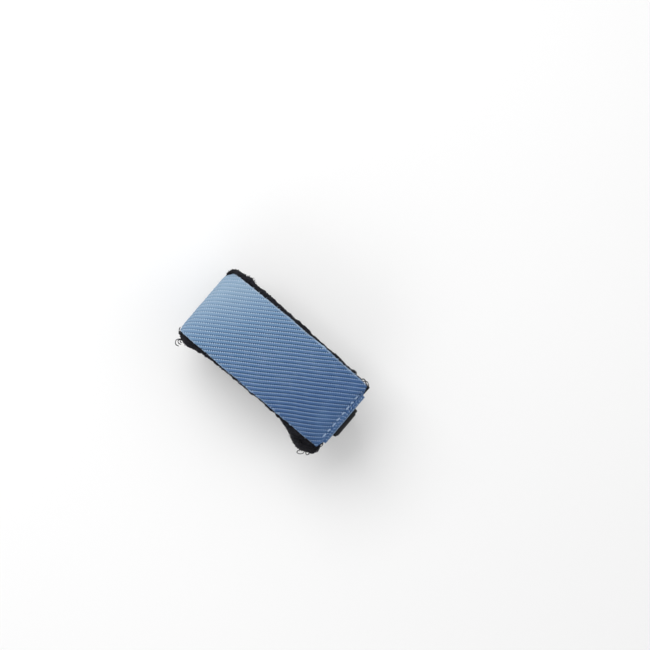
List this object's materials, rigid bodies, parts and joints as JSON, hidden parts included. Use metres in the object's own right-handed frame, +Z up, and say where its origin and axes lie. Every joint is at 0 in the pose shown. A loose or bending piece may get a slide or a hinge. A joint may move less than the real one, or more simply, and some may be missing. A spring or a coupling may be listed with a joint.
{
  "type": "guitar string mute wrap",
  "caption": "Denim band with a black pile lining that straps round a guitar neck by the nut, closed by a narrow strap through a ring with hook and loop tape.",
  "frame": {"origin": "under the middle of the wrap's box, on the surface that the back strap stands on", "axes": "+X across the neck towards the ring, +Y along the neck towards the headstock, +Z up out of the denim face"},
  "size_m": [0.0584, 0.0258, 0.0281],
  "materials": {
    "denim": "washed light-blue twill",
    "felt": "dark needle felt",
    "pile": "black brushed loop pile",
    "pale_thread": "pale blue sewing thread",
    "black_thread": "black sewing thread",
    "webbing": "black ribbed elastic webbing",
    "ring_plastic": "satin black moulded plastic",
    "loop_tape": "black loop tape",
    "hook_tape": "black moulded hook tape"
  },
  "bodies": {
    "band": {"denim_face": "denim", "felt_pad": "felt", "pile_lining": "pile", "hem_thread": "pale_thread", "wall_thread": "pale_thread", "ring_tab": "webbing", "back_strap": "webbing", "loop_tape": "loop_tape", "loop_thread_1": "black_thread", "loop_thread_2": "black_thread"},
    "ring": {"strap_ring": "ring_plastic", "strap_turn": "webbing"},
    "tail": {"strap_tail": "webbing", "hook_tape": "hook_tape", "hook_thread_1": "black_thread", "hook_thread_2": "black_thread"}
  },
  "joints": [
    {"name": "ring_swing", "type": "hinge", "parent": "band", "child": "ring", "pos_m": [0.02693, -0.001, 0.0221], "axis": [0, -1, 0], "range_deg": [0, 25]},
    {"name": "tail_peel", "type": "hinge", "parent": "ring", "child": "tail", "pos_m": [0.02918, -0.001, 0.01555], "axis": [0, -1, 0], "range_deg": [0, 150]}
  ]
}
